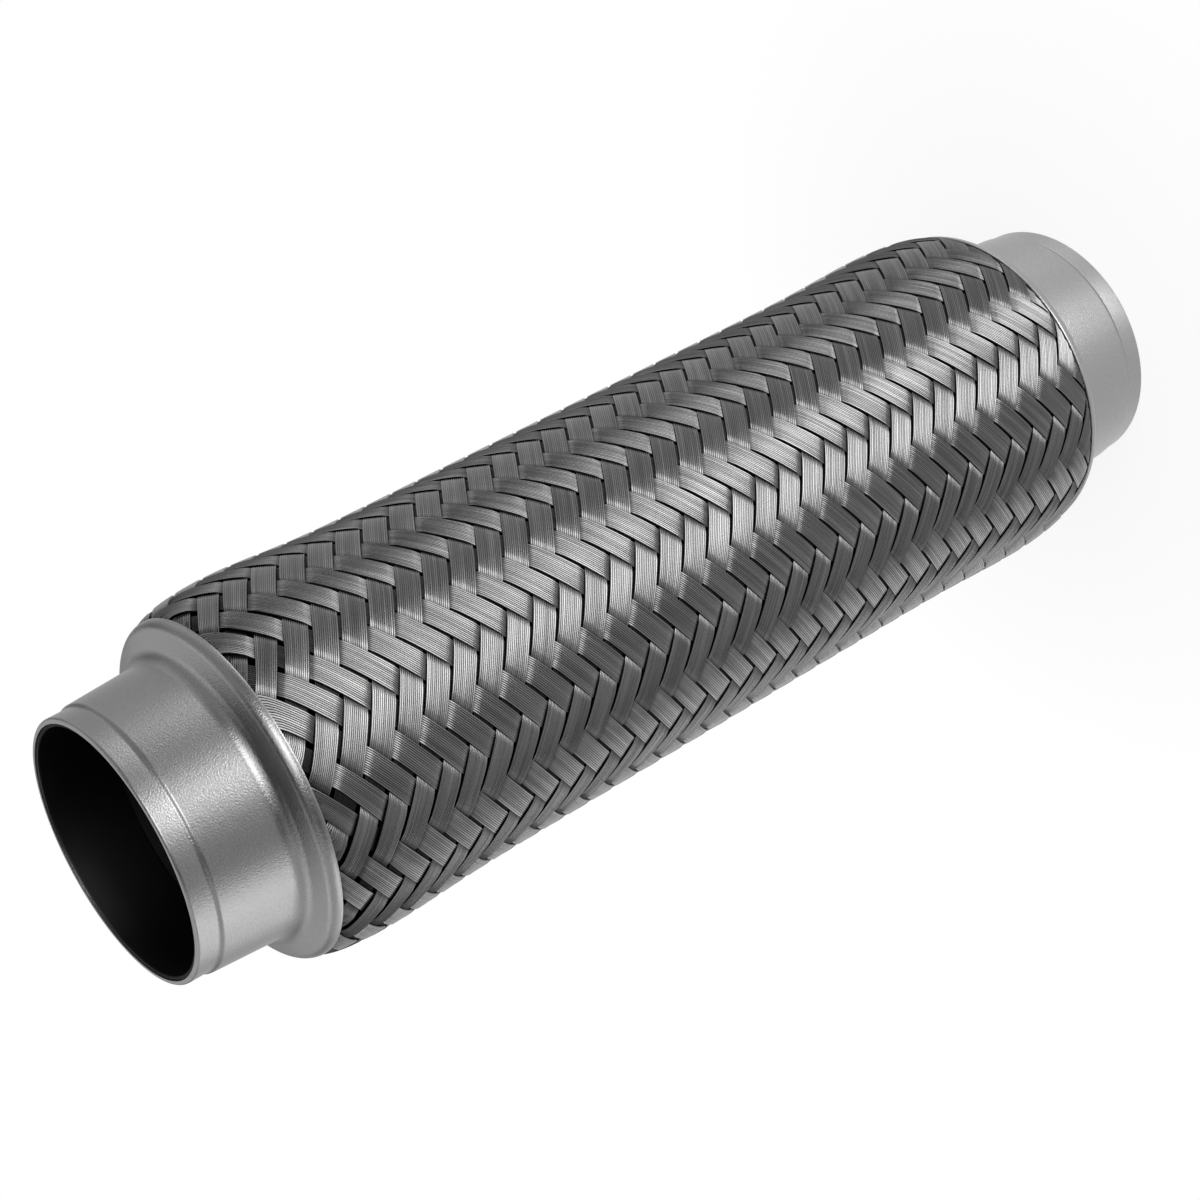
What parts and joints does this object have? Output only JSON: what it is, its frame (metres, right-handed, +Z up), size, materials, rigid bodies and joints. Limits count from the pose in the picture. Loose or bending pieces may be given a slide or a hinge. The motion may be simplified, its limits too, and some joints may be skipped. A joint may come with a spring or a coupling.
{
  "type": "exhaust flex pipe",
  "caption": "Braided flexible exhaust pipe: folded metal bellows and strip-wound liner under a woven wire sleeve, gripped at each end by a pressed metal cap.",
  "frame": {"origin": "centre of the lower mouth, on the plane the pipe stands on", "axes": "+Z up the pipe's axis, from the lower mouth to the upper one"},
  "size_m": [0.0746, 0.0746, 0.25],
  "materials": {
    "braid_wire": "bright drawn wire, fine parallel strands",
    "cap_steel": "satin pressed sheet with fine grain",
    "sleeve_steel": "satin sheet with a cut edge",
    "bellows_steel": "smooth thin sheet",
    "liner_steel": "dull rolled strip"
  },
  "bodies": {
    "root": {"outer_braid": "braid_wire", "end_cap_upper": "cap_steel", "end_cap_lower": "cap_steel", "inner_sleeve_upper": "sleeve_steel", "inner_sleeve_lower": "sleeve_steel", "bellows_inner_ply": "bellows_steel", "bellows_outer_ply": "bellows_steel", "interlock_liner": "liner_steel"}
  },
  "joints": []
}
